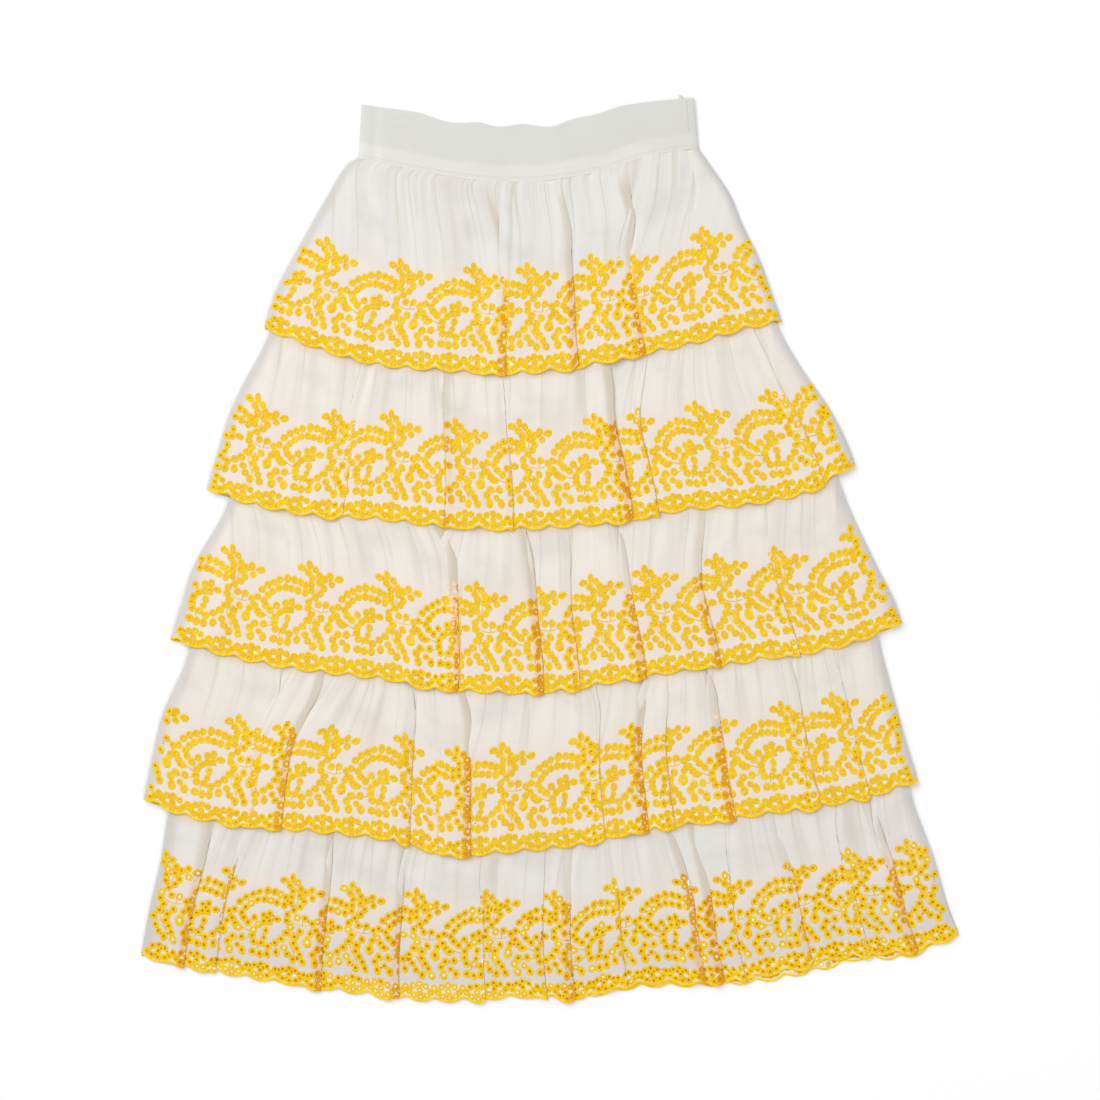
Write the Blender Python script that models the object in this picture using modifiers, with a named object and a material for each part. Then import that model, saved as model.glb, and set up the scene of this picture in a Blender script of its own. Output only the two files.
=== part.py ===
"""Maxi skirt of five gathered tiers with scalloped hems, lying flat with its front up.

The skirt lies on the plane z = 0. X runs across it, +Y points to the waist and +Z away from the
surface it lies on. Sizes below are in millimetres. The origin is at the middle of the whole skirt's
outline, on the surface.
"""

import bmesh
import bpy
import numpy as np

MM = 0.001
NAME = "maxi_skirt"

# Cloth and seams
WALL = 1.1
BAND_WALL = 1.4
SEAM_GAP = 0.3
CHORD_ROOM = 0.15   # straight runs between columns stray this far from a curved seam
LAYER = WALL + SEAM_GAP
TUCK = 30.0
SCALLOP_PITCH = 31.5
SCALLOP_DEPTH = 4.2

# The outline's middle, in the measures of the tables below
CENTRE_X = -1.0
CENTRE_Y = 3.2

# Waistband edges, each a row of x and y
BAND_TOP = ((-199, 469), (-138, 459), (-106, 451), (-54, 446), (4, 446), (35, 455), (98, 471), (149, 476))
BAND_SEAM = ((-202, 412), (-134, 398), (-72, 389), (-23, 388), (9, 391), (57, 400), (102, 415), (153, 423))

# Hems, from the left corner to the right one, each a row of x and y
HEMS = {
    1: ((-302, 233), (-264, 218), (-201, 198), (-107, 188), (-44, 185), (19, 190), (82, 203), (145, 216),
        (208, 233), (242, 240)),
    2: ((-362, 65), (-327, 52), (-264, 38), (-185, 33), (-107, 24), (-44, 22), (19, 25), (82, 32),
        (145, 43), (208, 48), (272, 63), (319, 90)),
    3: ((-400, -93), (-358, -106), (-296, -120), (-170, -136), (-107, -146), (19, -146), (82, -135),
        (208, -116), (334, -91), (368, -75)),
    4: ((-428, -260), (-390, -277), (-343, -286), (-280, -292), (-154, -307), (-107, -319), (-44, -316),
        (19, -310), (82, -297), (208, -279), (334, -258), (385, -242)),
    5: ((-431, -427), (-327, -447), (-201, -465), (-122, -473), (-12, -469), (19, -471), (82, -458),
        (208, -450), (303, -429), (397, -416), (429, -406)),
}

# The lowest hem's back half lies this much higher than its front half, each a row of x and rise
LAST_BACK_RISE = ((-431, 2), (-385, 4), (-352, 11), (-317, 9), (-290, 2), (-245, 3), (-220, 11), (-54, 11),
                  (-10, 3), (51, -1), (120, -3), (198, -4), (290, -7), (303, -6), (315, -4), (392, -4),
                  (410, 3), (429, 2))

# Tier 1 hangs from the waistband, the others from a seam hidden under the tier above
TOP_CORNERS = {1: (-202, 153), 2: (-283, 222), 3: (-328, 290), 4: (-372, 334), 5: (-395, 368)}

# Side edges between the top corner and the hem corner, from the hem upward, each a row of y and x
SIDES = {
    1: {"left": ((264, -293), (327, -261), (374, -234), (400, -218), (407, -212)),
        "right": ((264, 233), (311, 216), (343, 200), (374, 187), (405, 166))},
    2: {"left": ((91, -354), (154, -334), (217, -301)),
        "right": ((122, 306), (154, 289), (185, 267), (217, 247))},
    3: {"left": ((-51, -387), (-19, -377), (44, -342)),
        "right": ((-51, 359), (-19, 343), (44, 313))},
    4: {"left": ((-208, -417), (-177, -410), (-114, -383)),
        "right": ((-208, 374), (-161, 361), (-98, 344))},
    5: {"left": ((-382, -423), (-319, -409), (-287, -404)),
        "right": ((-382, 419), (-319, 400), (-256, 377))},
}

# Folds: x at the tier's seam, x at its hem, height, width of the rise, and the way the fold lies.
# lean 1 has its sharp edge to the right, lean -1 to the left, and lean 0 is a soft ridge.
FOLD_COLUMNS = ("seam_x", "hem_x", "height", "width", "lean")
FOLDS = {
    1: ((-150, -208, 1.8, 16, 0), (-97, -121, 2.0, 18, 0), (-55, -46, 4.5, 20, 1), (-11, -5, 1.8, 16, 0),
        (15, 30, 4.5, 20, 1), (62, 64, 2.2, 16, 0), (84, 101, 5.0, 26, 1), (122, 185, 2.0, 18, 0)),
    2: ((-240, -277, 2.0, 18, 0), (-215, -250, 2.4, 16, 0), (-196, -219, 2.4, 14, 0), (-116, -114, 4.2, 18, -1),
        (-93, -79, 1.8, 14, 0), (-51, -39, 3.4, 18, 1), (66, 88, 5.4, 24, 1), (108, 114, 1.8, 15, 0),
        (172, 212, 2.4, 18, 0), (203, 288, 2.0, 18, 0)),
    3: ((-290, -356, 2.4, 18, 0), (-201, -201, 1.8, 18, 0), (-160, -149, 2.6, 14, 1), (-112, -95, 5.2, 28, 1),
        (-60, -52, 1.6, 14, 0), (-32, -7, 4.8, 20, 1), (18, 31, 3.6, 14, 1), (64, 101, 4.6, 22, 1),
        (138, 141, 1.8, 16, 0), (166, 179, 4.4, 20, 1), (225, 262, 1.8, 18, 0), (262, 318, 2.2, 18, 0)),
    4: ((-275, -314, 2.8, 18, 0), (-222, -282, 4.6, 24, 1), (-162, -168, 2.2, 12, 0), (-149, -148, 3.6, 12, 1),
        (-128, -118, 1.8, 12, 0), (-94, -83, 5.0, 22, 1), (-47, -47, 2.4, 16, 0), (47, 58, 4.2, 18, 1),
        (102, 104, 5.0, 22, 1), (121, 131, 2.2, 12, 0), (158, 195, 4.8, 22, 1), (245, 285, 2.8, 16, 1),
        (288, 336, 2.0, 16, 0)),
    5: ((-340, -385, 4.4, 18, 1), (-308, -352, 3.0, 18, 1), (-222, -241, 4.6, 20, 1), (-147, -159, 4.6, 22, 1),
        (-70, -68, 1.8, 18, 0), (0, -3, 2.4, 16, 0), (31, 27, 4.2, 18, 1), (64, 82, 2.2, 16, 0),
        (120, 165, 4.6, 22, 1), (146, 184, 4.8, 14, 1), (184, 206, 1.8, 14, 0), (229, 277, 3.8, 18, 1),
        (298, 338, 1.8, 16, 0), (330, 387, 4.6, 20, 1)),
}
EDGE_RUN = 3.2
SIDE_ROUND = 5.0

# How the cloth lies down a tier, at these shares of the way from its seam to its hem
ROWS = (0.0, 0.18, 0.28, 0.55, 1.0)
SHOULDER_ROW = 0.06
FOLD_SHARE = (0.0, 0.0, 0.35, 0.85, 1.0)
GATHER_SHARE = (1.0, 1.0, 0.9, 0.4, 0.15)
FRONT_LIFT = (2 * LAYER, 2 * LAYER, 2 * LAYER, 3.5, 6.0)
LAST_FRONT_LIFT = (2 * LAYER, 2 * LAYER, 2 * LAYER, 2.2, LAYER)
TUCKED_BACK_LIFT = (LAYER, LAYER, 0.0, 0.0, 0.0)
GATHER_HEIGHT = 0.8
HIGHEST_FOLD = 6.5
BACK_COLUMNS_PER_SCALLOP = 2
FRONT_COLUMNS_PER_SCALLOP = 3

# Waistband and the tape loop inside it
BAND_LIFT = 2 * LAYER
BAND_COLUMNS = 26
BAND_ROWS = 3
LOOP_X = 135.5
LOOP_TIP_Y = 479.0
LOOP_LENGTH = 30.0
LOOP_WIDTH = 3.4
LOOP_THICKNESS = 0.6


def smooth(points, at):
    """Value at each place of a soft curve through the points, whose first column rises."""
    known = np.array(points, dtype=float)
    place = known[:, 0]
    value = known[:, 1]
    slope = np.gradient(value, place)
    at = np.clip(at, place[0], place[-1])
    step = np.clip(np.searchsorted(place, at) - 1, 0, len(place) - 2)
    span = place[step + 1] - place[step]
    part = (at - place[step]) / span
    rise = value[step] * (1 + 2 * part) + slope[step] * span * part
    fall = value[step + 1] * (3 - 2 * part) + slope[step + 1] * span * (part - 1)
    return rise * (1 - part) ** 2 + fall * part ** 2


def top_edge(tier, across):
    """x and y along a tier's upper edge, across from 0 at the left to 1 at the right."""
    left, right = TOP_CORNERS[tier]
    x = left + (right - left) * across
    if tier == 1:
        return x, smooth(BAND_SEAM, x) - SEAM_GAP - CHORD_ROOM
    return x, smooth(HEMS[tier - 1], x) + TUCK


def hem_edge(tier, across):
    """x and y along a tier's hem, without its scallops."""
    left = HEMS[tier][0][0]
    right = HEMS[tier][-1][0]
    x = left + (right - left) * across
    return x, smooth(HEMS[tier], x)


def side_edge(tier, side, down):
    """x and y along a side edge, down from 0 at the seam to 1 at the hem."""
    across = 0.0 if side == "left" else 1.0
    top_x, top_y = top_edge(tier, across)
    hem_x, hem_y = hem_edge(tier, across)
    y = top_y + (hem_y - top_y) * down
    points = ((hem_y, hem_x),) + SIDES[tier][side] + ((top_y, top_x),)
    return smooth(points, y), y


def tier_place(tier, across, down):
    """x and y of a place on a tier, between its four edges."""
    top = top_edge(tier, across)
    hem = hem_edge(tier, across)
    left = side_edge(tier, "left", down)
    right = side_edge(tier, "right", down)
    place = []
    for axis in (0, 1):
        edges = (1 - down) * top[axis] + down * hem[axis] + (1 - across) * left[axis] + across * right[axis]
        corners = (1 - across) * ((1 - down) * top_edge(tier, 0.0)[axis] + down * hem_edge(tier, 0.0)[axis])
        corners = corners + across * ((1 - down) * top_edge(tier, 1.0)[axis] + down * hem_edge(tier, 1.0)[axis])
        place.append(edges - corners)
    return place


def hem_width(tier):
    """Straight distance between a tier's hem corners along X."""
    return HEMS[tier][-1][0] - HEMS[tier][0][0]


def scallop_count(tier):
    """Whole scallops along one half of a tier's hem."""
    return round(hem_width(tier) / SCALLOP_PITCH)


def fold_line(tier, along_hem, down):
    """Share across a tier of the line that starts at a share of its hem and follows the folds up."""
    hem_left = HEMS[tier][0][0]
    top_left, top_right = TOP_CORNERS[tier]
    at_hem = [0.0] + [(fold[1] - hem_left) / hem_width(tier) for fold in FOLDS[tier]] + [1.0]
    at_top = [0.0] + [(fold[0] - top_left) / (top_right - top_left) for fold in FOLDS[tier]] + [1.0]
    return (1 - down) * np.interp(along_hem, at_hem, at_top) + down * along_hem


def fold_height(tier, x):
    """Height of the folds at full depth above the lie of the cloth, at places along the hem."""
    total = np.zeros_like(x)
    for row in FOLDS[tier]:
        fold = dict(zip(FOLD_COLUMNS, row))
        distance = x - fold["hem_x"]
        if fold["lean"] == 0:
            part = np.clip(1 - np.abs(distance) / fold["width"], 0, 1)
        else:
            distance = distance * fold["lean"]
            rise = np.clip(1 + distance / fold["width"], 0, 1)
            drop = np.clip(1 - distance / EDGE_RUN, 0, 1)
            part = np.minimum(rise, drop)
        total = total + fold["height"] * part * part * (3 - 2 * part)
    return np.minimum(total, HIGHEST_FOLD)


def gather_height(tier, along_hem):
    """Height of the small gathers at full depth, unevenly spaced along the seam."""
    turn = scallop_count(tier) * along_hem + 0.35 * np.sin(7.3 * along_hem * tier)
    return GATHER_HEIGHT * (0.5 + 0.5 * np.cos(2 * np.pi * turn))


def hem_notch(tier, along_hem):
    """How far the scalloped edge stands back from the hem line."""
    lobe = np.abs(np.sin(np.pi * scallop_count(tier) * along_hem))
    return SCALLOP_DEPTH * (1 - lobe)


def hem_rise(tier, front, x):
    """How much higher than the front hem's line a half's hem lies."""
    if front or tier != max(HEMS):
        return np.zeros_like(x)
    return smooth(LAST_BACK_RISE, x)


def tier_columns(tier, per_scallop, with_folds):
    """Shares along the hem where a panel has a column of points."""
    width = hem_width(tier)
    special = [0.0, SIDE_ROUND / width, 1 - SIDE_ROUND / width, 1.0]
    if with_folds:
        for fold in FOLDS[tier]:
            if fold[4] != 0:
                crest = (fold[1] - HEMS[tier][0][0]) / width
                special += [crest, crest + fold[4] * EDGE_RUN / width]
    steps = scallop_count(tier) * per_scallop
    closest = EDGE_RUN / width
    plain = [step / steps for step in range(1, steps)]
    plain = [share for share in plain if min(abs(share - other) for other in special) > closest]
    return np.array(sorted(special + plain))


def tier_rows(tier):
    """Shares down a tier where a panel has a row of points."""
    if tier == 1:
        return np.array(sorted(ROWS + (SHOULDER_ROW,)))
    return np.array(ROWS)


def tier_surface(tier, front):
    """Lower face of a tier's front or back half, as rows of points."""
    columns = tier_columns(tier, FRONT_COLUMNS_PER_SCALLOP if front else BACK_COLUMNS_PER_SCALLOP, front)
    down, along_hem = np.meshgrid(tier_rows(tier), columns, indexing="ij")
    x, y = tier_place(tier, fold_line(tier, along_hem, down), down)
    y = y + np.where(down == 1.0, hem_notch(tier, along_hem) + hem_rise(tier, front, x), 0.0)
    back_lift = np.zeros_like(down) if tier == 1 else np.interp(down, ROWS, TUCKED_BACK_LIFT)
    if not front:
        return np.stack((x, y, back_lift), axis=-1)
    lift = np.interp(down, ROWS, LAST_FRONT_LIFT if tier == max(HEMS) else FRONT_LIFT)
    lift = lift + np.interp(down, ROWS, FOLD_SHARE) * fold_height(tier, HEMS[tier][0][0]
                                                                 + along_hem * hem_width(tier))
    lift = lift + np.interp(down, ROWS, GATHER_SHARE) * gather_height(tier, along_hem)
    at_side = (along_hem == 0.0) | (along_hem == 1.0)
    return np.stack((x, y, np.where(at_side, back_lift + LAYER, lift)), axis=-1)


def band_surface(front):
    """Lower face of the waistband's front or back half, as rows of points."""
    width = BAND_SEAM[-1][0] - BAND_SEAM[0][0]
    inner = np.linspace(SIDE_ROUND / width, 1 - SIDE_ROUND / width, BAND_COLUMNS)
    columns = np.concatenate(((0.0,), inner, (1.0,)))
    down, across = np.meshgrid(np.linspace(0, 1, BAND_ROWS + 1), columns, indexing="ij")
    top_x = BAND_TOP[0][0] + across * (BAND_TOP[-1][0] - BAND_TOP[0][0])
    seam_x = BAND_SEAM[0][0] + across * width
    x = top_x + (seam_x - top_x) * down
    top_y = smooth(BAND_TOP, top_x)
    y = top_y + (smooth(BAND_SEAM, seam_x) - top_y) * down
    if not front:
        return np.stack((x, y, np.zeros_like(x)), axis=-1)
    at_side = (across == 0.0) | (across == 1.0)
    return np.stack((x, y, np.where(at_side, BAND_WALL + SEAM_GAP, BAND_LIFT)), axis=-1)


def cloth_material(name, colour, roughness):
    """Plain cloth colour for one piece."""
    material = bpy.data.materials.new(name)
    material.use_nodes = True
    shader = material.node_tree.nodes["Principled BSDF"]
    shader.inputs["Base Color"].default_value = colour
    shader.inputs["Roughness"].default_value = roughness
    shader.inputs["Metallic"].default_value = 0.0
    return material


def add_object(collection, name, mesh, colour, roughness=0.85):
    """One named sub-part with its own material."""
    mesh.materials.append(cloth_material(name, colour, roughness))
    piece = bpy.data.objects.new(name, mesh)
    collection.objects.link(piece)
    return piece


def cloth_piece(collection, name, surface, wall, colour):
    """A sheet of points in millimetres made into a wall that grows upward from them."""
    rows, columns = surface.shape[:2]
    points = (surface - (CENTRE_X, CENTRE_Y, 0.0)) * MM
    form = bmesh.new()
    grid = [[form.verts.new(points[row, column]) for column in range(columns)] for row in range(rows)]
    for row in range(rows - 1):
        for column in range(columns - 1):
            upper = grid[row]
            lower = grid[row + 1]
            form.faces.new((lower[column], lower[column + 1], upper[column + 1], upper[column]))
    mesh = bpy.data.meshes.new(name)
    form.to_mesh(mesh)
    form.free()
    piece = add_object(collection, name, mesh, colour)
    thick = piece.modifiers.new("Wall", "SOLIDIFY")
    thick.thickness = wall * MM
    thick.offset = 1.0
    return piece


def loop_piece(collection, colour):
    """Tape loop between the two halves of the waistband, its tip above the top edge."""
    form = bmesh.new()
    bmesh.ops.create_cube(form, size=1.0)
    size = (LOOP_WIDTH * MM, LOOP_LENGTH * MM, LOOP_THICKNESS * MM)
    bmesh.ops.scale(form, vec=size, verts=form.verts)
    mesh = bpy.data.meshes.new("hanger_loop")
    form.to_mesh(mesh)
    form.free()
    piece = add_object(collection, "hanger_loop", mesh, colour)
    middle_z = BAND_WALL + SEAM_GAP + LOOP_THICKNESS / 2
    middle_y = LOOP_TIP_Y - LOOP_LENGTH / 2 - CENTRE_Y
    piece.location = ((LOOP_X - CENTRE_X) * MM, middle_y * MM, middle_z * MM)
    rounded = piece.modifiers.new("Rounded", "BEVEL")
    rounded.width = 0.15 * MM
    rounded.segments = 1
    return piece


def build():
    """All the pieces of the skirt."""
    for old in list(bpy.data.objects):
        bpy.data.objects.remove(old, do_unlink=True)
    collection = bpy.data.collections.new(NAME)
    bpy.context.scene.collection.children.link(collection)
    white = (0.86, 0.84, 0.80, 1.0)
    golden = (0.90, 0.66, 0.16, 1.0)
    cloth_piece(collection, "waistband_front", band_surface(True), BAND_WALL, white)
    cloth_piece(collection, "waistband_back", band_surface(False), BAND_WALL, white)
    loop_piece(collection, white)
    for tier in HEMS:
        cloth_piece(collection, f"tier_{tier}_front", tier_surface(tier, True), WALL, golden)
        cloth_piece(collection, f"tier_{tier}_back", tier_surface(tier, False), WALL, golden)


build()
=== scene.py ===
"""Maxi skirt laid flat: sheer gathered tiers with golden eyelet embroidery and scalloped hems.

Measures are millimetres on the laid skirt, with x across it, y towards the waist and z up from the
surface. The cloth of a tier is first laid out flat, with u along its hem and v up from the hem, and
then placed by one function, so its embroidery goes with its folds.
"""

import bmesh
import bpy
import numpy as np
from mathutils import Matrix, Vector
from mathutils.geometry import delaunay_2d_cdt


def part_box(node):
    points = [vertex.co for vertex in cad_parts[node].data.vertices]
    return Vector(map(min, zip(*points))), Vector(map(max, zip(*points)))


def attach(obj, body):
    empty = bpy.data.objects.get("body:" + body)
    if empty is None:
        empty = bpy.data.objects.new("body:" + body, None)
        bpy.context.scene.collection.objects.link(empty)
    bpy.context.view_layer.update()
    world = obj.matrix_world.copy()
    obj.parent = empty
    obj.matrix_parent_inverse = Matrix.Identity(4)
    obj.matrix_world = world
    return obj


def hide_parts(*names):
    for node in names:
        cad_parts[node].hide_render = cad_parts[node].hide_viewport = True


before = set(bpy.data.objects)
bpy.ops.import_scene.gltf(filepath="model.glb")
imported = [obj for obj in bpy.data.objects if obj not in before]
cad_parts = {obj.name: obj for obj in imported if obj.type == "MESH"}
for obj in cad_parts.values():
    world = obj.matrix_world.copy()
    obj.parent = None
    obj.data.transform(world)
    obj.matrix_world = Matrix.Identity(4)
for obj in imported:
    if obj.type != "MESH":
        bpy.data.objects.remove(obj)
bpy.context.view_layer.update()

MM = 0.001
# Middle of the laid skirt's outline
CENTRE_X = -1.0
CENTRE_Y = 3.2

# Cloth and seams
WALL = 1.1
BAND_WALL = 1.4
SEAM_GAP = 0.3
LAYER = WALL + SEAM_GAP
TUCK = 30.0

# Waistband edges, each a row of x and y
BAND_TOP = ((-199, 469), (-172, 465), (-138, 460), (-108, 450.5), (-92, 449.5), (-77, 450.3), (-57, 445.5),
            (-31, 448.2), (4, 446), (19, 452.5), (43, 457.5), (77, 468), (98, 471), (149, 476))
BAND_SEAM = ((-202, 412), (-134, 398), (-72, 389), (-23, 388), (9, 391), (57, 400), (102, 415), (153, 423))

# Waistband: its length, depth and thickness, where its weave starts, its puckers and its stitches
BAND_LENGTH = 355.0
BAND_DEPTH = 56.0
BAND_THICK = 1.2
BAND_UV_TOP = 0.3
PUCKERS = 26
ZIP_SHARE = 0.978
STITCH_RADIUS = 0.26
STITCH_BULGE = 0.22

# Hems, from the left corner to the right one, each a row of x and y
HEMS = {
    1: ((-302, 233), (-264, 218), (-201, 198), (-107, 188), (-44, 185), (19, 190), (82, 203), (145, 216),
        (208, 233), (242, 240)),
    2: ((-362, 65), (-327, 52), (-264, 38), (-185, 33), (-107, 24), (-44, 22), (19, 25), (82, 32),
        (145, 43), (208, 48), (272, 63), (319, 90)),
    3: ((-400, -93), (-358, -106), (-296, -120), (-170, -136), (-107, -146), (19, -146), (82, -135),
        (208, -116), (334, -91), (368, -75)),
    4: ((-428, -260), (-390, -277), (-343, -286), (-280, -292), (-154, -307), (-107, -319), (-44, -316),
        (19, -310), (82, -297), (208, -279), (334, -258), (385, -242)),
    5: ((-431, -427), (-327, -447), (-201, -465), (-122, -473), (-12, -469), (19, -471), (82, -458),
        (208, -450), (303, -429), (397, -416), (429, -406)),
}
LAST = max(HEMS)
TOP_CORNERS = {1: (-202, 153), 2: (-283, 222), 3: (-328, 290), 4: (-372, 334), 5: (-395, 368)}

# Side edges between the top corner and the hem corner, from the hem upward, each a row of y and x
SIDES = {
    1: {"left": ((264, -293), (327, -261), (374, -234), (400, -218), (407, -212)),
        "right": ((264, 233), (311, 216), (343, 200), (374, 187), (405, 166))},
    2: {"left": ((91, -354), (154, -334), (217, -301)),
        "right": ((122, 306), (154, 289), (185, 267), (217, 247))},
    3: {"left": ((-51, -387), (-19, -377), (44, -342)),
        "right": ((-51, 359), (-19, 343), (44, 313))},
    4: {"left": ((-208, -417), (-177, -410), (-114, -383)),
        "right": ((-208, 374), (-161, 361), (-98, 344))},
    5: {"left": ((-382, -423), (-319, -409), (-287, -404)),
        "right": ((-382, 419), (-319, 400), (-256, 377))},
}

# Folds: x at the tier's seam, x at its hem, height, width of the rise, the way the fold lies, and how
# wide the cloth is hidden under it at the hem. lean 1 has its sharp edge to the right, lean -1 to the
# left, and lean 0 is a soft ridge.
FOLD_COLUMNS = ("seam_x", "hem_x", "height", "width", "lean", "lap")
FOLDS = {
    1: ((-150, -208, 1.8, 16, 0, 0), (-97, -121, 2.4, 18, 0, 0), (-55, -46, 4.5, 20, 1, 15),
        (-11, -5, 1.8, 16, 0, 0), (15, 30, 4.5, 20, 1, 7), (62, 64, 2.2, 16, 0, 0),
        (84, 101, 5.0, 26, 1, 26), (122, 185, 2.0, 18, 0, 0)),
    2: ((-240, -277, 2.0, 18, 0, 0), (-215, -250, 2.4, 16, 0, 0), (-196, -219, 2.8, 14, 1, 12),
        (-116, -114, 4.2, 18, -1, 6), (-93, -79, 1.8, 14, 0, 0), (-51, -39, 3.4, 18, 1, 8),
        (66, 88, 5.4, 24, 1, 22), (108, 114, 3.4, 15, 1, 10), (172, 212, 2.4, 18, 0, 0),
        (203, 288, 2.8, 18, 1, 15)),
    3: ((-290, -356, 2.4, 18, 0, 0), (-201, -201, 1.8, 18, 0, 0), (-160, -149, 2.6, 14, 0, 0),
        (-112, -95, 5.2, 28, 1, 43), (-60, -52, 1.6, 14, 0, 0), (-32, -7, 4.8, 20, 1, 12),
        (18, 31, 3.6, 14, 1, 12), (64, 101, 4.6, 22, 1, 15), (138, 141, 1.8, 16, 0, 0),
        (166, 179, 4.4, 20, 1, 5), (225, 262, 2.4, 18, 1, 11), (262, 318, 2.2, 18, 0, 0)),
    4: ((-275, -314, 3.4, 18, 1, 21), (-222, -282, 4.6, 20, 1, 21), (-162, -168, 2.2, 12, 0, 0),
        (-149, -148, 3.6, 12, 1, 8), (-128, -118, 2.4, 12, 1, 8), (-94, -83, 5.0, 20, 1, 22),
        (-47, -47, 2.4, 16, 0, 0), (47, 58, 3.0, 18, 1, 19), (102, 104, 5.0, 22, 1, 18),
        (121, 131, 3.2, 12, 1, 13), (158, 195, 4.8, 22, 1, 19), (245, 285, 3.4, 16, 1, 17),
        (288, 336, 2.6, 16, 1, 6)),
    5: ((-340, -385, 4.4, 18, 1, 10), (-308, -352, 3.6, 18, 1, 12), (-222, -241, 4.6, 20, 1, 12),
        (-147, -159, 4.6, 22, 1, 10), (-70, -68, 2.6, 18, 1, 6), (0, -3, 3.0, 16, 1, 8),
        (31, 27, 4.2, 18, 1, 10), (64, 82, 2.6, 16, 1, 5), (120, 165, 4.6, 22, 1, 14),
        (146, 184, 4.8, 14, 1, 11), (184, 206, 2.4, 14, 1, 5), (229, 277, 3.8, 18, 1, 9),
        (298, 338, 2.6, 16, 1, 8), (330, 387, 4.6, 20, 1, 13)),
}

# How the cloth lies down a tier, at these shares of the way from its seam to its hem
ROWS = (0.0, 0.18, 0.28, 0.55, 0.93, 1.0)
FOLD_SHARE = (0.0, 0.0, 0.35, 0.85, 1.0, 1.0)
FRONT_LIFT = (2 * LAYER, 2 * LAYER, 2 * LAYER, 3.5, 5.9, 5.3)
LAST_FRONT_LIFT = (2 * LAYER, 2 * LAYER, 2 * LAYER, 2.2, 1.5, LAYER)
TUCKED_BACK_LIFT = (LAYER, LAYER, 0.0, 0.0, 0.0, 0.0)
CLOTH_IN_WALL = 0.6
BACK_CLOTH_IN_WALL = 0.75
SIDE_ROUND = 7.0
SIDE_SHADE = 18.0
LAP_OPENS = (0.0, 0.34)
# A lap's cloth runs out, back and out again, as these waves added to an even run
LAP_WAVES = ((1, 0.526), (2, -0.132), (4, 0.033))
# How far the cloth's lines have spread from the seam's places to the hem's, for each share down a tier
SPREAD = ((0.0, 0.0), (0.2, 0.42), (0.4, 0.8), (0.55, 0.97), (0.7, 1.0), (1.0, 1.0))
LAP_RISE = 0.38
LAP_DROP = 3.0
LAP_TURNS = (0.33, 0.67)
TURN_STEPS = (-1.5, -0.75, 0.0, 0.75, 1.5)
SHOWS_THROUGH = 14.0
SHOWS_FROM = 0.16
MOST_DOUBLED = 1.2
EDGE_REST = 0.4
RIDGE_RISE = 0.8
STEEP_SIDE = 0.33
GATHERED = 0.34
HEM_SHADE = 9.0
ALLOWANCE_FROM = 0.7
SEAM_WALL = 0.35
SEAM_LINES = (0.925, 0.965)
# Gathers at a seam, fine ones and wide ones: spacing, half width, height and reach down the tier
GATHERS = ((9.0, 4.5, 1.0, 0.2), (34.0, 13.0, 2.5, 0.9))
# Height that the gathers may have, at shares down the tier
RIDGE_ROOM = ((0.0, 0.2, 0.4, 1.0), (1.0, 1.2, 2.6, 2.6))
# Cloth wraps round the sides, so at the seam it reaches past both side edges by this share
SIDE_WRAP = {1: (0.13, 0.14), 2: (0.06, 0.02), 3: (0.09, 0.05), 4: (0.02, 0.02), 5: (0.02, 0.02)}

# The lowest hem's back half lies this much higher than its front half, each a row of x and rise
LAST_BACK_RISE = ((-431, 2), (-385, 4), (-352, 11), (-317, 9), (-290, 2), (-245, 3), (-220, 11), (-54, 11),
                  (-10, 3), (51, -1), (120, -3), (198, -4), (290, -7), (303, -6), (315, -4), (392, -4),
                  (410, 3), (429, 2))

# Embroidery on the flat cloth
REPEAT = 92.0
FANS = 3
FAN_PLACE = 0.25
SCALLOP_DEPTH = 4.6
BAND_TOP_V = 120.0
UNDER_SEAM = 1.4
PLAIN_RUN = 90.0
BACK_START = 40.0
PATTERN_START = {1: -23.0, 2: -32.0, 3: -16.0, 4: -70.0, 5: -52.0}
EYELET_RADIUS = 4.15
SIDE_ROOM = 0.8
TIP_NARROWS = 0.9
HOLE_SHARE = {1: 0.28, 2: 0.28, 3: 0.28, 4: 0.28, 5: 0.35}
HOLE_FLOOR = 0.4
HOLE_LIP = 0.08
OPEN_LIP = 0.02
# Mesh of the embroidered band: steps along its hem and laps, points up its sides, where its grid starts
# and ends, its distance from the eyelets, and the longest side of a triangle in grid steps
HEM_STEP = 2.3
FINE_STEP = 1.7
SIDE_POINTS = 34
GRID_FROM = 6.5
GRID_SHORT = 1.5
EYELET_CLEAR = 0.85
LONGEST_SIDE = 2.4
# How finely the front, True, and the back, False, are modelled
DETAIL = {True: {"grid": 3.8, "steps": 18, "sides": 8, "cord_step": 2.4},
          False: {"grid": 5.5, "steps": 9, "sides": 6, "cord_step": 3.6}}
RING_MIDDLE = 0.62
RING_HEIGHT = (0.05, 0.5, 0.08)
CORD_SIDE = 0.06
STEM_RISE = 1.0
STEM_WIDTH = 1.0
STEM_HEIGHT = 0.35
INSIDE_SHOWS = 22.0
THREAD_SPACING = 0.00045
STITCHES_ROUND = 26
SEEN_THROUGH = 0.12
HIDES = 1.7

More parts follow.
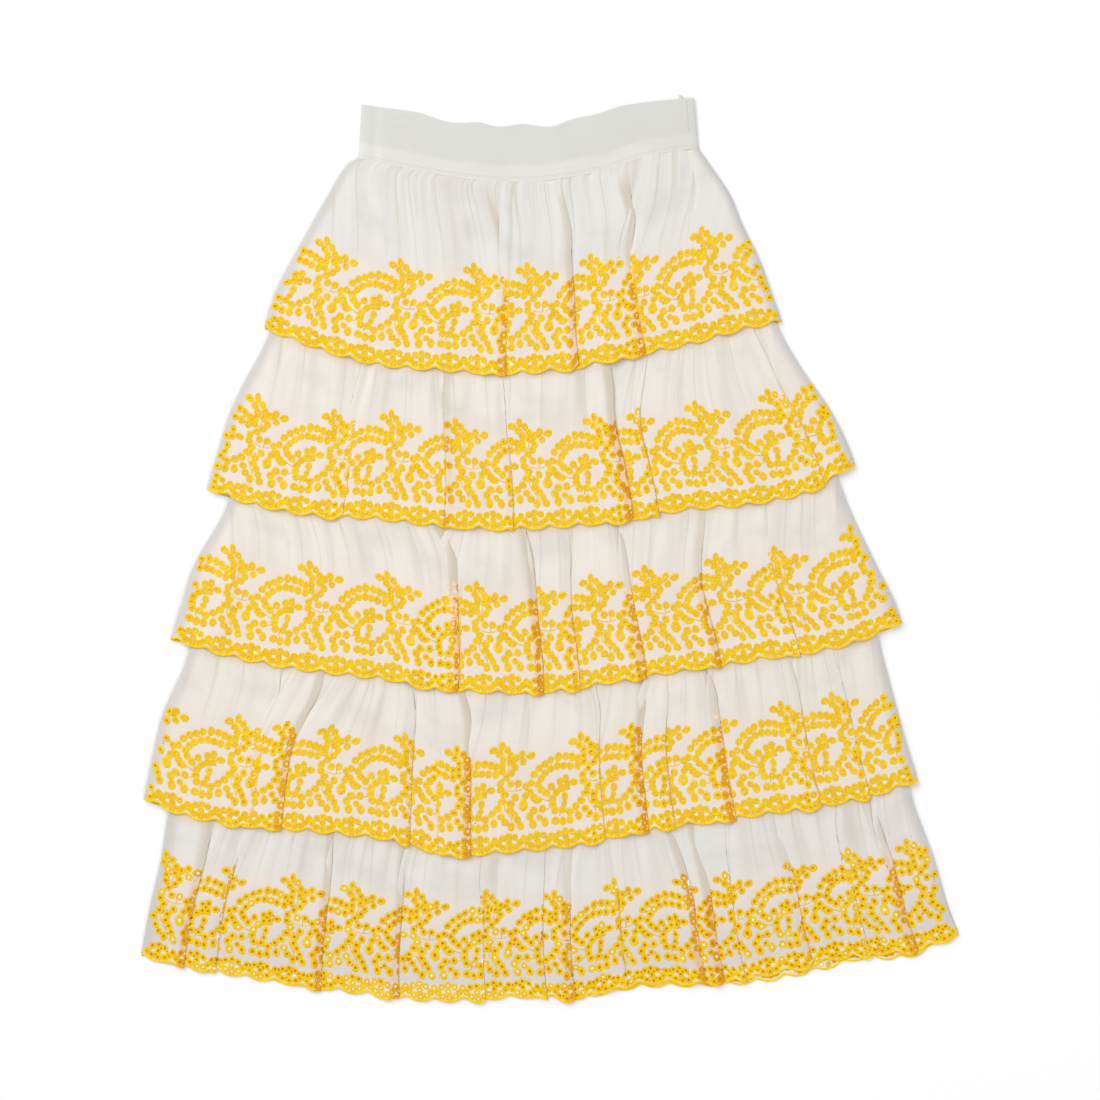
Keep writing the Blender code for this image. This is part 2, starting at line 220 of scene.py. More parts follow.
# The embroidery's repeat, charted: u and v of each eyelet's middle, its size, how much longer
# than wide it is, and the way its tip points in degrees. A plain eyelet leaves out the last ones.
PLAIN_EYELET = (0, 0, 1, 1, 0)
SPRAY = (
    (50.6, 109.2, 1.0, 1.35), (59.7, 112.6, 0.95, 1.35, -90), (66.6, 108.2), (57.9, 104.4), (71.0, 102.3),
    (62.7, 98.5), (77.2, 99.1), (84.2, 102.7), (94.1, 100.2, 1.0, 1.4, 190), (85.9, 94.3), (71.1, 95.1),
    (77.0, 89.5), (73.2, 83.8), (62.3, 92.4), (55.9, 91.4), (62.7, 86.1), (67.1, 79.2),
    (55.5, 83.7, 1.0, 1.25, 90),
)
SCROLL = (
    (13.7, 63.9, 1.05), (19.3, 59.6, 1.05), (25.3, 65.8), (30.5, 59.1), (26.1, 53.1, 1.05), (36.2, 63.2),
    (42.2, 64.2, 0.9), (35.0, 69.8, 0.95), (41.4, 71.8, 0.95, 1.25, -90), (49.8, 67.3, 0.95, 1.35, 170),
    (9.6, 53.2, 1.05, 1.35), (25.7, 46.6, 1, 1.1, 180), (28.1, 40.4, 1.05), (36.2, 40.2), (38.6, 46.2, 0.8),
    (39.6, 53.6, 0.95, 1.25, -90), (43.8, 37.6, 1, 1.1, -20), (51.0, 42.3, 1.05),
    (57.5, 47.4, 1, 1.15, -20), (62.5, 54.4, 0.95, 1.4), (28.1, 29.7, 1.1), (35.8, 28.5, 1, 1.2, 90),
    (43.8, 29.3, 1, 1.25, 90), (53.2, 32.6, 1, 1.25, 90), (61.1, 38.9, 0.95, 1.1, 10),
    (65.3, 32.6, 0.95, 1.1, 30),
)
COLUMN = (
    (60.7, 73.7), (60.7, 67.2), (65.5, 61.4, 1, 1.15), (71.9, 72.0), (80.6, 72.3),
    (76.8, 57.9, 1, 1.1, 120), (71.5, 51.4, 1, 1.2, 180), (71.1, 44.9, 1, 1.1), (75.2, 39.6),
    (78.8, 34.4, 0.95), (81.8, 27.9, 1.0, 1.25, 115), (71.9, 27.8, 1, 1.25, 80),
    (85.6, 49.0, 1.3, 1.25, 80), (88.0, 58.2, 0.95), (88.8, 68.7), (93.5, 61.9, 1, 1.1),
    (97.5, 56.6, 1, 1.1, 10), (4.8, 42.7, 1.1), (0.2, 36.8, 1.05), (3.2, 28.8, 1.1, 1.25, 90),
    (10.9, 34.8, 0.85), (14.5, 43.6, 1, 1.1, 90), (16.5, 29.6, 1.05, 1.25, 90),
)
ARCH = (
    (2.5, 71.4), (6.2, 80.3, 1, 1.1, 20), (11.9, 86.1), (18.4, 89.8), (25.3, 93.5),
    (34.0, 95.6, 1.05, 1.2, -90), (42.3, 95.3, 1, 1.1, -90), (49.4, 93.4, 1, 1.15, -80), (10.4, 69.0),
    (14.0, 75.2), (18.6, 80.2), (25.2, 84.4), (32.6, 86.3, 1, 1.1, -90), (39.6, 85.8),
    (47.2, 84.4, 1, 1.1, -80),
)
# One border scallop, with u from its middle
FAN = (
    (-7.2, 16.0, 0.92), (-0.5, 18.0, 0.9), (6.3, 16.2, 0.92), (15.3, 14.8, 0.92), (-0.4, 11.6, 0.86),
    (-11.6, 10.2, 0.92), (11.2, 10.2, 0.92), (-6.8, 6.6, 0.86, 1.1, -15), (0.3, 5.0, 0.84, 1.1),
    (7.2, 6.7, 0.86, 1.1, 15),
)
# Fine stems between the eyelets, each a run of u and v
STEMS = (
    ((60, 107), (63, 103), (68, 97), (70, 89), (67, 81), (62, 76)), ((84, 98), (78, 94), (72, 90)),
    ((62, 70), (66, 66), (71, 64), (77, 63), (84, 64.4)), ((78.4, 71), (78.4, 63.4)),
    ((26, 49), (24, 44), (19.5, 41.6), (9, 40)), ((33.4, 38), (33, 33)),
    ((65.2, 52), (65, 45), (68, 41), (73, 33)),
    ((46, 60), (36, 58), (27, 57)), ((90, 44), (86.5, 56), (89.5, 65)), ((62, 58), (72, 54)),
    ((12, 54), (22, 50)),
)
# Cords of the border: the share of the scallops' depth that each follows, its place above the hem, its
# width and height, and how far it stands out below the cloth
BORDER_CORDS = ((1.0, 0.8, 2.5, 0.7, 0.5), (0.62, 8.6, 1.3, 0.35, 0.0))

# Colours
CLOTH_COOL = (0.70, 0.695, 0.665)
CLOTH_WARM = (0.775, 0.722, 0.66)
# Painted fold shade from the shared streaks, and the slubs' own darker tone
CLOTH_SLUB_AND_FOLD_SHADE = (0.60, 0.58, 0.54)
# Painted shade of soft folds, laid in streaks down the tiers
CLOTH_FOLD_SHADE = (0.57, 0.53, 0.465)
# Painted shade in the creases of gathered cloth
CREASE_SHADE = (0.55, 0.51, 0.42)
# Painted shadow on the cloth just under the hem of the tier above
CLOTH_HEM_SHADOW = (0.72, 0.58, 0.41)
# Painted warm light bounced from the yellow thread over the embroidered band, with the layers beneath seen
# through it
CLOTH_BOUNCE_GLOW = (0.76, 0.66, 0.58)
# Painted shade: the lowest tier's band is greyer, as fewer layers lie beneath it to send light back
CLOTH_THIN_SHADE = (0.62, 0.57, 0.54)
# Painted shade along the side edges, where the cloth turns round them
CLOTH_EDGE_SHADE = (0.54, 0.52, 0.50)
# Where cloth lies double beside a lap, hidden layers and thread show through, darkened with painted shade
CLOTH_DOUBLED_SHADED = (0.54, 0.46, 0.35)
BAND_DOUBLED_SHADED = (0.74, 0.50, 0.29)
THREAD_BENEATH = (0.78, 0.38, 0.03)
BAND_COOL = (0.62, 0.622, 0.587)
BAND_WARM = (0.685, 0.672, 0.632)
# In an eyelet: the cloth beneath, darkened and warmed with painted shade; deep painted shade; and the pale
# floor
HOLE_CLOTH = (0.90, 0.62, 0.36)
HOLE_DEEP_SHADE = (0.64, 0.25, 0.012)
HOLE_PALE = (0.95, 0.93, 0.88)
THREAD_GOLD = (0.90, 0.55, 0.003)
THREAD_LIGHT = (0.95, 0.66, 0.01)
# Painted highlight on the border's pale gaps between its eyelets
BORDER_HIGHLIGHT = (0.86, 0.83, 0.76)
# Painted warm shade along a lap's sharp edge, lit by light coming through the fold
FOLD_LINE_SHADE = (0.72, 0.60, 0.45)
BAND_FOLD_LINE_SHADE = (0.80, 0.46, 0.13)
# Painted shade between the stitches and low down the thread's sides
THREAD_RECESS_SHADE = (0.84, 0.41, 0.002)
# Thread where cloth lies double, darkened with painted shade
THREAD_DOUBLED_SHADED = (0.72, 0.28, 0.001)
WARMTH = {1: 0.15, 2: 0.9, 3: 1.0, 4: 0.9, 5: 0.35}
# Values that the cloth of a tier keeps for its colour
TIER_VALUES = ("gathered", "hem_shadow", "thin", "doubled", "under_edge", "beside", "sunk", "tone")

# Lamps: name, place, size and power
LAMPS = (("key", (-1.9, 1.7, 2.3), 2.4, 67.0), ("fill", (2.2, -0.8, 2.6), 2.6, 24.0))
# The photo's width in pixels, the size of one, and its middle on the skirt
PHOTO_PIXELS = 1100
PIXEL = 1.05
PHOTO_MIDDLE = (-1.6, 1.6)


def smooth(points, at):
    """Value at each place of a soft curve through the points, whose first column rises."""
    known = np.array(points, dtype=float)
    place = known[:, 0]
    value = known[:, 1]
    slope = np.gradient(value, place)
    at = np.clip(at, place[0], place[-1])
    step = np.clip(np.searchsorted(place, at) - 1, 0, len(place) - 2)
    span = place[step + 1] - place[step]
    part = (at - place[step]) / span
    rise = value[step] * (1 + 2 * part) + slope[step] * span * part
    fall = value[step + 1] * (3 - 2 * part) + slope[step + 1] * span * (part - 1)
    return rise * (1 - part) ** 2 + fall * part ** 2


def ease(part):
    """Soft step from 0 to 1."""
    part = np.clip(part, 0, 1)
    return part * part * (3 - 2 * part)


def unit(vectors):
    """Vectors brought to a length of 1."""
    return vectors / np.maximum(np.linalg.norm(vectors, axis=-1, keepdims=True), 1e-9)


def side_rounding(share, width):
    """How far the front has risen from its side edges, where its cloth turns round them, from 0 to 1."""
    from_side = np.minimum(share, 1 - share) * width / SIDE_ROUND
    return np.sqrt(np.clip(1 - (1 - np.clip(from_side, 0, 1)) ** 2, 0, 1))


def top_edge(tier, across):
    """x and y along a tier's upper edge, across from 0 at the left to 1 at the right."""
    left, right = TOP_CORNERS[tier]
    x = left + (right - left) * across
    if tier == 1:
        return x, smooth(BAND_SEAM, x) - SEAM_GAP
    return x, smooth(HEMS[tier - 1], x) + TUCK


def hem_edge(tier, across):
    """x and y along a tier's hem, without its scallops."""
    left = HEMS[tier][0][0]
    right = HEMS[tier][-1][0]
    x = left + (right - left) * across
    return x, smooth(HEMS[tier], x)


def side_edge(tier, side, down):
    """x and y along a side edge, down from 0 at the seam to 1 at the hem."""
    across = 0.0 if side == "left" else 1.0
    top_x, top_y = top_edge(tier, across)
    hem_x, hem_y = hem_edge(tier, across)
    y = top_y + (hem_y - top_y) * down
    points = ((hem_y, hem_x),) + SIDES[tier][side] + ((top_y, top_x),)
    return smooth(points, y), y


def tier_place(tier, across, down):
    """x and y of a place on a tier, between its four edges."""
    top = top_edge(tier, across)
    hem = hem_edge(tier, across)
    left = side_edge(tier, "left", down)
    right = side_edge(tier, "right", down)
    place = []
    for axis in (0, 1):
        edges = (1 - down) * top[axis] + down * hem[axis] + (1 - across) * left[axis] + across * right[axis]
        first = (1 - down) * top_edge(tier, 0.0)[axis] + down * hem_edge(tier, 0.0)[axis]
        last = (1 - down) * top_edge(tier, 1.0)[axis] + down * hem_edge(tier, 1.0)[axis]
        place.append(edges - ((1 - across) * first + across * last))
    return place


def hem_width(tier):
    """Straight distance between a tier's hem corners along X."""
    return HEMS[tier][-1][0] - HEMS[tier][0][0]


def gathers(length, seed):
    """Uneven ridges down from the seam: place along it, half width, height, reach, slant and lean."""
    draw = np.random.default_rng(seed)
    rows = []
    for spacing, width, height, reach in GATHERS:
        place = draw.uniform(0, spacing)
        while place < length:
            rows.append((place, width * draw.uniform(0.7, 1.4), height * draw.uniform(0.3, 1.0),
                         reach * draw.uniform(0.5, 1.3), draw.uniform(-18.0, 18.0), draw.choice((-1, 1))))
            place += spacing * draw.uniform(0.55, 1.45)
    return rows


def lay_out(tier, front):
    """How the cloth of a tier's half runs along its hem: its length, laps, ridges and cloth height."""
    edge = hem_edge(tier, np.linspace(0, 1, 401))
    run = float(np.hypot(np.diff(edge[0]), np.diff(edge[1])).sum())
    left = HEMS[tier][0][0]
    top_left, top_right = TOP_CORNERS[tier]
    wrap_left, wrap_right = SIDE_WRAP[tier]
    line_u = [0.0]
    line_share = [0.0]
    top_u = [0.0]
    top_share = [-wrap_left]
    laps = []
    ridges = []
    for row in FOLDS[tier] if front else ():
        fold = dict(zip(FOLD_COLUMNS, row))
        lap = fold["lap"]
        share = (fold["hem_x"] - left) / hem_width(tier)
        start = share - lap / run if fold["lean"] > 0 else share
        u = line_u[-1] + (start - line_share[-1]) * run
        if lap:
            line_u += [u, u + 3 * lap]
            line_share += [start, start + lap / run]
            laps.append(dict(fold, start=u, swing=lap / run))
            top_u.append(u + 1.5 * lap)
            top_share.append((fold["seam_x"] - top_left) / (top_right - top_left))
        else:
            ridges.append(dict(fold, start=u))
    length = line_u[-1] + (1 - line_share[-1]) * run
    panel = {
        "tier": tier, "front": front, "length": length, "laps": laps, "ridges": ridges,
        "line": (line_u + [length], line_share + [1.0]),
        "top": (top_u + [length], top_share + [1 + wrap_right]),
        "gathers": gathers(length, 10 * tier + int(front)),
    }
    grid = np.linspace(0, length, 200)
    upper = tier_place(tier, np.clip(np.interp(grid, *panel["top"]), 0, 1), 0.0)
    lower = tier_place(tier, np.interp(grid, *panel["line"]), 1.0)
    panel["height"] = (grid, np.hypot(upper[0] - lower[0], upper[1] - lower[1]))
    levels = np.linspace(0, BAND_TOP_V + PLAIN_RUN, 60)
    near = np.linspace(0, 90, 181)
    starts = [np.interp(0.0, plain_share(panel, near, 0 * near + v), near) for v in levels]
    ends = [np.interp(-1.0, -plain_share(panel, length - near, 0 * near + v), near) for v in levels]
    panel["sides"] = (levels, np.array(starts), length - np.array(ends))
    return panel


def down_share(panel, u, v):
    """Share of the way from seam to hem at flat places on the cloth."""
    height = np.interp(u, *panel["height"])
    in_band = 1 - v / height
    above = (1 - BAND_TOP_V / height) * (1 - (v - BAND_TOP_V) / PLAIN_RUN)
    return np.clip(np.where(v <= BAND_TOP_V, in_band, above), 0.0, 1.0)


def plain_share(panel, u, v):
    """Share across the tier of flat places, before its laps are folded."""
    spread = smooth(SPREAD, down_share(panel, u, v))
    return (1 - spread) * np.interp(u, *panel["top"]) + spread * np.interp(u, *panel["line"])


def side_places(panel, v):
    """Flat places of the left and right side edges at heights above the hem."""
    levels, starts, ends = panel["sides"]
    return np.interp(v, levels, starts), np.interp(v, levels, ends)


def from_sides(panel, u, v):
    """Distance of flat places from the nearer side edge."""
    left, right = side_places(panel, v)
    return np.minimum(u - left, right - u)


def lap_turn(lap, u):
    """How far a place is through a lap: 0 where it starts and 1 where it ends."""
    return np.clip((u - lap["start"]) / (3 * lap["lap"]), 0, 1)


def lap_shape(lap, u):
    """Rise of a lap from 0 to 1: up to its sharp edge, then back under itself."""
    turn = lap_turn(lap, u)
    outside = lap["start"] - u
    if lap["lean"] < 0:
        turn = 1 - turn
        outside = u - lap["start"] - 3 * lap["lap"]
    edge, inner = LAP_TURNS
    rise = ease(1 - outside / lap["width"])
    back = 1 - (1 - EDGE_REST) * ease(turn / edge) - EDGE_REST * ease((turn - edge) / (inner - edge))
    return np.where(outside > 0, rise, back)


def inside_edge(lap, u):
    """How far inside a lap's sharp edge places are, along the cloth."""
    turn = LAP_TURNS[0] if lap["lean"] > 0 else 1 - LAP_TURNS[0]
    return lap["lean"] * (lap["start"] + turn * 3 * lap["lap"] - u)


def doubled(panel, u, v):
    """How strongly hidden folds show through beside a lap's edge, with painted shade there, from 0 for single
    cloth.
    """
    total = np.zeros_like(u)
    for lap in panel["laps"]:
        inside = inside_edge(lap, u)
        shows = np.where(inside > 0, ease(1.5 * (1 - inside / SHOWS_THROUGH)), ease(1 + inside / lap["lap"]))
        total = total + MOST_DOUBLED * shows * np.clip((lap["height"] - 2) / 3.2, 0.1, 1) ** 1.5
    return np.clip(total, 0, MOST_DOUBLED) * ease(down_share(panel, u, v) / SHOWS_FROM)


def under_edge(panel, u, v):
    """1 on the cloth right under a lap's sharp edge, where a warm line of painted shade is laid for the fold
    and the light that comes through it, and 0 elsewhere.
    """
    most = np.zeros_like(u)
    for lap in panel["laps"]:
        turn = lap_turn(lap, u) if lap["lean"] > 0 else 1 - lap_turn(lap, u)
        above = ease((turn - LAP_TURNS[0] + 0.06) / 0.06) * ease((LAP_TURNS[0] + 0.12 - turn) / 0.06)
        below = ease((turn - 0.93) / 0.04) * (turn < 0.999)
        most = np.maximum(most, above + below)
    return most * ease((down_share(panel, u, v) - LAP_OPENS[1]) / 0.2)


def lie(panel, u, v):
    """x, y and z of flat places u, v on the cloth once it is laid."""
    tier = panel["tier"]
    last = tier == LAST
    down = down_share(panel, u, v)
    opens = ease((down - LAP_OPENS[0]) / (LAP_OPENS[1] - LAP_OPENS[0]))
    share = plain_share(panel, u, v)
    height = np.zeros_like(u)
    drop = np.zeros_like(u)
    for lap in panel["laps"]:
        for times, size in LAP_WAVES:
            share = share + size * lap["swing"] * np.sin(2 * np.pi * times * lap_turn(lap, u)) * opens
        shape = lap_shape(lap, u)
        height = height + LAP_RISE * lap["height"] * shape
        drop = drop + LAP_DROP * shape
    for ridge in panel["ridges"]:
        away = np.abs(u - ridge["start"]) / ridge["width"]
        height = height + RIDGE_RISE * ridge["height"] * ease(1 - away)
    share = np.clip(share, 0, 1)
    x, y = tier_place(tier, share, down)
    if tier == 1:
        y = y + UNDER_SEAM * (1 - down) ** 4
    y = y - np.minimum(drop, LAP_DROP) * down ** 3
    if last and not panel["front"]:
        y = y + smooth(LAST_BACK_RISE, x) * down ** 2
    back_lift = 0.0 if tier == 1 else np.interp(down, ROWS, TUCKED_BACK_LIFT)
    if not panel["front"]:
        return np.stack((x, y, back_lift + BACK_CLOTH_IN_WALL + 0 * u), axis=-1)
    small = np.zeros_like(u)
    for place, width, rise, reach, slant, lean in panel["gathers"]:
        away = lean * (u - place - slant * down) / width
        away = np.where(away > 0, away / STEEP_SIDE, away)
        small = small + rise * np.exp(-away * away) * ease(1 - down / reach)
    lift = np.interp(down, ROWS, LAST_FRONT_LIFT if last else FRONT_LIFT)
    z = lift + np.interp(down, ROWS, FOLD_SHARE) * height + np.minimum(small, np.interp(down, *RIDGE_ROOM))
    beside = back_lift + LAYER
    z = beside + side_rounding(share, hem_width(tier)) * (z - beside) + CLOTH_IN_WALL
    return np.stack((x, y, z), axis=-1)


def face_out(panel, u, v):
    """Direction out of the cloth's embroidered side at flat places on it."""
    step = 0.5
    along = lie(panel, u + step, v) - lie(panel, u - step, v)
    up = lie(panel, u, v + step) - lie(panel, u, np.maximum(v - step, 0.0))
    normal = unit(np.cross(along, up))
    return normal if panel["front"] else -normal


def eyelet_chart():
    """All the eyelets of one repeat."""
    rows = list(SPRAY + SCROLL + COLUMN + ARCH)
    for fan in range(FANS):
        middle = REPEAT * (fan + FAN_PLACE) / FANS
        rows += [(middle + row[0],) + row[1:] for row in FAN]
    return np.array([row + PLAIN_EYELET[len(row):] for row in rows], dtype=float)


def eyelets_along(panel, start):
    """Chart rows for a strip of cloth, between its side edges."""
    chart = eyelet_chart()
    numbers = np.arange(-1, int(panel["length"] / REPEAT) + 3)
    rows = np.tile(chart, (len(numbers), 1))
    rows[:, 0] += start + np.repeat(numbers, len(chart)) * REPEAT
    return rows[from_sides(panel, rows[:, 0], rows[:, 1]) > SIDE_ROOM * EYELET_RADIUS]


def hole_tones(panel, rows):
    """What each eyelet shows: 0 the cloth behind it, 1 deep shade, -1 pale light, 2 an open hole."""
    u = rows[:, 0]
    v = rows[:, 1]
    over_hidden = np.zeros(len(rows))
    for lap in panel["laps"]:
        inside = inside_edge(lap, u)
        over_hidden += (inside > 0) * ease(1.6 * (1 - inside / (HIDES * lap["lap"])))
    if panel["tier"] != LAST:
        return np.clip(np.maximum(1.2 - from_sides(panel, u, v) / SIDE_SHADE, 0.75 * over_hidden), 0, 1)
    tone = np.clip(1.5 - v / BAND_TOP_V + 0.5 * over_hidden, 0, 1)
    chance = np.random.default_rng(5).uniform(0, 1, len(rows))
    tone[chance < SEEN_THROUGH] = -1
    rise = smooth(LAST_BACK_RISE, lie(panel, u, v)[:, 0])
    uncovered = rise if panel["front"] else -rise
    tone[v < uncovered - 1] = -1 if panel["front"] else 2
    return tone


def hem_notch(u, start):
    """How far the scalloped edge stands up from the hem line, at flat places along it."""
    lobe = np.abs(np.cos(np.pi * ((u - start) / REPEAT * FANS - FAN_PLACE)))
    return SCALLOP_DEPTH * (1 - lobe ** 1.35)


def eyelet_places(rows, angle, size, stretch):
    """Flat places round the middle of each eyelet, long ones drawn out to a tip."""
    x = size * stretch * np.cos(angle)
    y = size * np.sin(angle) * (1 - (rows[:, 3:4] - 1) * TIP_NARROWS * np.clip(np.cos(angle), 0, 1))
    turn = np.radians(rows[:, 4:5])
    u = rows[:, 0:1] + x * np.cos(turn) - y * np.sin(turn)
    v = rows[:, 1:2] + x * np.sin(turn) + y * np.cos(turn)
    return u, v


def with_turns(panel, even):
    """Places along the cloth: close rows at the turns of its laps, and the even places away from them."""
    turns = [lap["start"] + 3 * lap["lap"] * turn + step
             for lap in panel["laps"] for turn in (*LAP_TURNS, 1.0) for step in TURN_STEPS]
    if not turns:
        return even
    away = np.abs(even[:, None] - np.array(turns)).min(axis=1)
    kept = even[(away > 0.45) | (even == even[0]) | (even == even[-1])]
    return np.unique(np.concatenate((kept, turns)))


def cloth_points(panel, rows, tones, start):
    """Flat points and triangles of the embroidered band, and how far each point is sunk in an eyelet."""
    length = panel["length"]
    hole = HOLE_SHARE[panel["tier"]]
    points = []
    edges = []
    sunk = []

    def add_run(run_u, run_v, closed=False, depth=0.0, tone=0.0):
        first = len(points)
        points.extend(zip(run_u, run_v))
        sunk.extend([(depth, tone)] * len(run_u))
        last = len(points) - 1
        edges.extend((number, number + 1) for number in range(first, last))
        if closed:
            edges.append((last, first))

    detail = DETAIL[panel["front"]]
    grid_step = detail["grid"]
    share = with_turns(panel, np.linspace(0, length, int(length / HEM_STEP) + 1)) / length
    edge_v = hem_notch(share * length, start)
    edge_u = share * length
    edge_u[0] = side_places(panel, edge_v[0])[0]
    edge_u[-1] = side_places(panel, edge_v[-1])[1]
    add_run(edge_u, edge_v)
    top_left, top_right = side_places(panel, BAND_TOP_V)
    add_run(top_left + (top_right - top_left) * share, np.full_like(share, BAND_TOP_V))
    for side, corner_v in ((0, edge_v[0]), (1, edge_v[-1])):
        side_v = np.linspace(corner_v, BAND_TOP_V, SIDE_POINTS)
        add_run(side_places(panel, side_v)[side], side_v)
    angle = np.arange(detail["sides"]) * 2 * np.pi / detail["sides"]
    hole_size = rows[:, 2:3] * (EYELET_RADIUS * (hole + HOLE_LIP))
    hole_u, hole_v = eyelet_places(rows, angle, hole_size, rows[:, 3:4])
    for number, tone in enumerate(tones):
        add_run(hole_u[number], hole_v[number], True, 0.0 if tone > 1 else 1.0, min(tone, 1.0))
    fine = [lap["start"] + step
            for lap in panel["laps"] for step in np.arange(-2.0, 3 * lap["lap"] + 3, FINE_STEP)]
    columns = np.unique(np.round(np.concatenate((np.arange(FINE_STEP, length - 1, grid_step), fine)), 2))
    for number, u in enumerate(with_turns(panel, columns)):
        first_v = GRID_FROM + grid_step / 2 * (number % 2)
        column_v = np.arange(first_v, BAND_TOP_V - GRID_SHORT, grid_step)
        column_v = column_v[from_sides(panel, u, column_v) > 1]
        near = rows[np.abs(rows[:, 0] - u) < 8]
        if len(near):
            away = np.hypot(near[:, 0] - u, near[:, 1] - column_v[:, None]).min(axis=1)
            column_v = column_v[away > EYELET_RADIUS * EYELET_CLEAR]
        points.extend((u, v) for v in column_v)
        sunk.extend([(0.0, 0.0)] * len(column_v))
    found = delaunay_2d_cdt([Vector(point) for point in points], edges, [], 0, 1e-5)
    flat = np.array([tuple(point) for point in found[0]])
    depth = np.zeros((len(flat), 2))
    for number, origins in enumerate(found[3]):
        if origins:
            depth[number] = max(sunk[origin] for origin in origins)
    faces = np.array([face for face in found[2] if len(face) == 3])
    middle = flat[faces].mean(axis=1)
    keep = middle[:, 1] > hem_notch(middle[:, 0], start) - 0.02
    keep &= from_sides(panel, *middle.T) > 0
    reach = np.linalg.norm(flat[faces] - flat[np.roll(faces, 1, axis=1)], axis=2)
    keep &= reach.max(axis=1) < LONGEST_SIDE * grid_step
    for row in rows[tones > 1]:
        near = np.nonzero(np.abs(middle[:, 0] - row[0]) < 4)[0]
        away = middle[near] - row[:2]
        keep[near[(away ** 2).sum(axis=1) < (row[2] * EYELET_RADIUS * (hole + OPEN_LIP)) ** 2]] = False
    return flat, faces[keep], depth, share


def stack_faces(groups):
    """One list of points and faces from several of each."""
    points = np.concatenate([group[0] for group in groups])
    shift = np.cumsum([0] + [len(group[0]) for group in groups[:-1]])
    faces = np.concatenate([group[1] + add for group, add in zip(groups, shift)])
    return points, faces


def grid_faces(columns, rows):
    """Quads of a grid whose rows have one point more than its columns."""
    wide = columns + 1
    corner = (np.arange(columns) + (np.arange(rows) * wide)[:, None]).ravel()
    return np.stack((corner, corner + 1, corner + wide + 1, corner + wide), axis=-1)


def cloth_object(name, panel, rows, start, material):
    """The cloth of one half of a tier, embroidered band and plain part."""
    flat, faces, depth, share = cloth_points(panel, rows, hole_tones(panel, rows), start)
    steps = DETAIL[panel["front"]]["steps"]
    levels = BAND_TOP_V + PLAIN_RUN * np.linspace(0, 1, steps + 1)
    grid_v, grid_share = np.meshgrid(levels, share, indexing="ij")
    left, right = side_places(panel, grid_v)
    grid = np.stack(((left + (right - left) * grid_share).ravel(), grid_v.ravel()), axis=-1)
    quads = grid_faces(len(share) - 1, steps) + len(flat)
    flat = np.concatenate((flat, grid))
    u, v = flat.T
    depth = np.concatenate((depth, np.zeros((len(grid), 2))))
    place = lie(panel, u, v) - face_out(panel, u, v) * depth[:, :1] * HOLE_FLOOR
    piece = mesh_object(name, place, faces.tolist() + quads.tolist(), material, not panel["front"])
    mesh = piece.data
    add_uv(mesh, "cloth", flat * MM)
    down = down_share(panel, u, v)
    past_hem = down * np.interp(u, *panel["height"]) - TUCK
    values = {
        "doubled": doubled(panel, u, v),
        "under_edge": under_edge(panel, u, v),
        "sunk": depth[:, 0],
        "tone": depth[:, 1],
        # Painted shade near the side edges
        "beside": ease(1 - from_sides(panel, u, v) / SIDE_SHADE),
        # Painted shade on the lowest tier's band, where fewer layers lie beneath
        "thin": (panel["tier"] == LAST) * ease((BAND_TOP_V - v) / BAND_TOP_V),
        "warmth": np.full_like(u, WARMTH[panel["tier"]]),
        "gathered": ease(1.1 - down / GATHERED),
        # Painted shadow under the hem of the tier above
        "hem_shadow": (panel["tier"] > 1) * ease(1 - past_hem / HEM_SHADE),
    }
    for label, value in values.items():
        add_value(mesh, label, value)
    form = bmesh.new()
    form.from_mesh(mesh)
    bmesh.ops.remove_doubles(form, verts=form.verts, dist=0.00002)
    bmesh.ops.delete(form, geom=[vertex for vertex in form.verts if not vertex.link_faces], context="VERTS")
    form.to_mesh(mesh)
    form.free()
    mesh.shade_smooth()
    return piece


def add_uv(mesh, name, pairs):
    """A UV map from a pair of values for each point."""
    corner_vertex = np.empty(len(mesh.loops), dtype=np.int32)
    mesh.loops.foreach_get("vertex_index", corner_vertex)
    mesh.uv_layers.new(name=name).data.foreach_set("uv", np.asarray(pairs)[corner_vertex].ravel())


def add_value(mesh, name, values):
    """A number for each point of a mesh, which its material reads."""
    layer = mesh.attributes.new(name=name, type="FLOAT", domain="POINT")
    layer.data.foreach_set("value", np.asarray(values, dtype=np.float32))


def add_object(name, data):
    """An object in the scene from a mesh, a light or a camera."""
    piece = bpy.data.objects.new(name, data)
    bpy.context.scene.collection.objects.link(piece)
    return piece


def mesh_object(name, place, faces, material, turned=False):
    """An object from points in millimetres on the laid skirt, with its faces turned over where asked."""
    if turned:
        faces = [face[::-1] for face in faces]
    mesh = bpy.data.meshes.new(name)
    mesh.from_pydata(((place - (CENTRE_X, CENTRE_Y, 0.0)) * MM).tolist(), [], faces)
    mesh.materials.append(material)
    return add_object(name, mesh)


def eyelet_ring(sides):
    """A small stitched ring: each point's angle, its level (0 inner, 1 raised, 2 outer) and the faces."""
    bpy.ops.mesh.primitive_torus_add(major_segments=sides, minor_segments=3,
                                     major_radius=2.4, minor_radius=1.0)
    ring = bpy.context.object
    co = np.array([vertex.co[:] for vertex in ring.data.vertices])
    faces = np.array([list(face.vertices) for face in ring.data.polygons])
    angle = np.arctan2(co[:, 1], co[:, 0])
    level = np.where(np.abs(co[:, 2]) < 0.01, 2, np.where(co[:, 2] > 0, 1, 0))
    bpy.data.objects.remove(ring, do_unlink=True)
    return angle, level, faces


